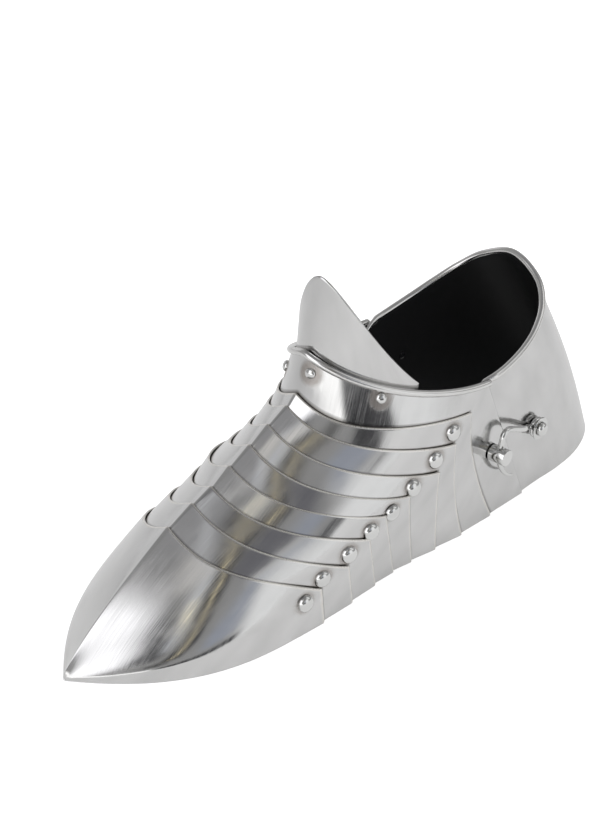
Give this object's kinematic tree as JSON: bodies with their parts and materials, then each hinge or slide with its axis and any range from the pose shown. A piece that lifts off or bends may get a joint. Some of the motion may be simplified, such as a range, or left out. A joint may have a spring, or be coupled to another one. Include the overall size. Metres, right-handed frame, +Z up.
{
  "type": "sabaton",
  "caption": "Left foot armour of overlapping steel plates with an almond toe, a riveted tongue and a heel plate hinged at one side and hooked at the other.",
  "frame": {"origin": "middle of the bounding box, on the floor", "axes": "+X towards the toe, +Y towards the wearer's left, +Z up"},
  "size_m": [0.3594, 0.1064, 0.1548],
  "materials": {
    "plate_steel": "polished by hand, with fine brushing along and across the plates",
    "rivet_steel": "domed by hammer, polished, a little grime round the edge",
    "hook_iron": "forged wire, polished"
  },
  "bodies": {
    "ankle": {"instep_plate": "plate_steel", "tongue": "plate_steel", "tongue_rivet_right": "rivet_steel", "tongue_rivet_middle": "rivet_steel", "tongue_rivet_left": "rivet_steel", "latch_stud": "rivet_steel", "hinge_leaf_front": "plate_steel", "hinge_pin": "plate_steel", "hinge_rivet_front": "rivet_steel", "lame_rivet_left_8": "rivet_steel", "lame_rivet_right_8": "rivet_steel"},
    "heel": {"heel_plate": "plate_steel", "hinge_leaf_rear": "plate_steel", "hinge_rivet_rear": "rivet_steel", "latch_rivet": "rivet_steel", "latch_washer": "rivet_steel"},
    "hook": {"latch_hook": "hook_iron"},
    "lame_7": {"lame_7": "plate_steel", "lame_rivet_left_7": "rivet_steel", "lame_rivet_right_7": "rivet_steel"},
    "lame_6": {"lame_6": "plate_steel", "lame_rivet_left_6": "rivet_steel", "lame_rivet_right_6": "rivet_steel"},
    "lame_5": {"lame_5": "plate_steel", "lame_rivet_left_5": "rivet_steel", "lame_rivet_right_5": "rivet_steel"},
    "lame_4": {"lame_4": "plate_steel", "lame_rivet_left_4": "rivet_steel", "lame_rivet_right_4": "rivet_steel"},
    "lame_3": {"lame_3": "plate_steel", "lame_rivet_left_3": "rivet_steel", "lame_rivet_right_3": "rivet_steel"},
    "lame_2": {"lame_2": "plate_steel", "lame_rivet_left_2": "rivet_steel", "lame_rivet_right_2": "rivet_steel"},
    "lame_1": {"lame_1": "plate_steel", "lame_rivet_left_1": "rivet_steel", "lame_rivet_right_1": "rivet_steel"},
    "toe": {"toe_cap": "plate_steel"}
  },
  "joints": [
    {"name": "flex_8", "type": "hinge", "parent": "ankle", "child": "lame_7", "pos_m": [-0.0298, 0, 0.068], "axis": [0, -1, 0], "range_deg": [0, 2]},
    {"name": "flex_7", "type": "hinge", "parent": "lame_7", "child": "lame_6", "pos_m": [-0.0166, 0, 0.0582], "axis": [0, -1, 0], "range_deg": [0, 2.5]},
    {"name": "flex_6", "type": "hinge", "parent": "lame_6", "child": "lame_5", "pos_m": [-0.0002, 0, 0.0498], "axis": [0, -1, 0], "range_deg": [0, 3]},
    {"name": "flex_5", "type": "hinge", "parent": "lame_5", "child": "lame_4", "pos_m": [0.0154, 0, 0.043], "axis": [0, -1, 0], "range_deg": [0, 3]},
    {"name": "flex_4", "type": "hinge", "parent": "lame_4", "child": "lame_3", "pos_m": [0.0303, 0, 0.0391], "axis": [0, -1, 0], "range_deg": [0, 3]},
    {"name": "flex_3", "type": "hinge", "parent": "lame_3", "child": "lame_2", "pos_m": [0.0449, 0, 0.0325], "axis": [0, -1, 0], "range_deg": [0, 3]},
    {"name": "flex_2", "type": "hinge", "parent": "lame_2", "child": "lame_1", "pos_m": [0.0615, 0, 0.0259], "axis": [0, -1, 0], "range_deg": [0, 3]},
    {"name": "flex_1", "type": "hinge", "parent": "lame_1", "child": "toe", "pos_m": [0.0735, 0, 0.0178], "axis": [0, -1, 0], "range_deg": [0, 3]},
    {"name": "heel_hinge", "type": "hinge", "parent": "ankle", "child": "heel", "pos_m": [-0.06992, -0.04437, 0.0575], "axis": [0.4046, -0.0492, 0.9132], "range_deg": [0, 45]},
    {"name": "hook_pivot", "type": "hinge", "parent": "heel", "child": "hook", "pos_m": [-0.10182, 0.04014, 0.03842], "axis": [0.108, -0.9938, 0.0269], "range_deg": [0, 110]}
  ]
}
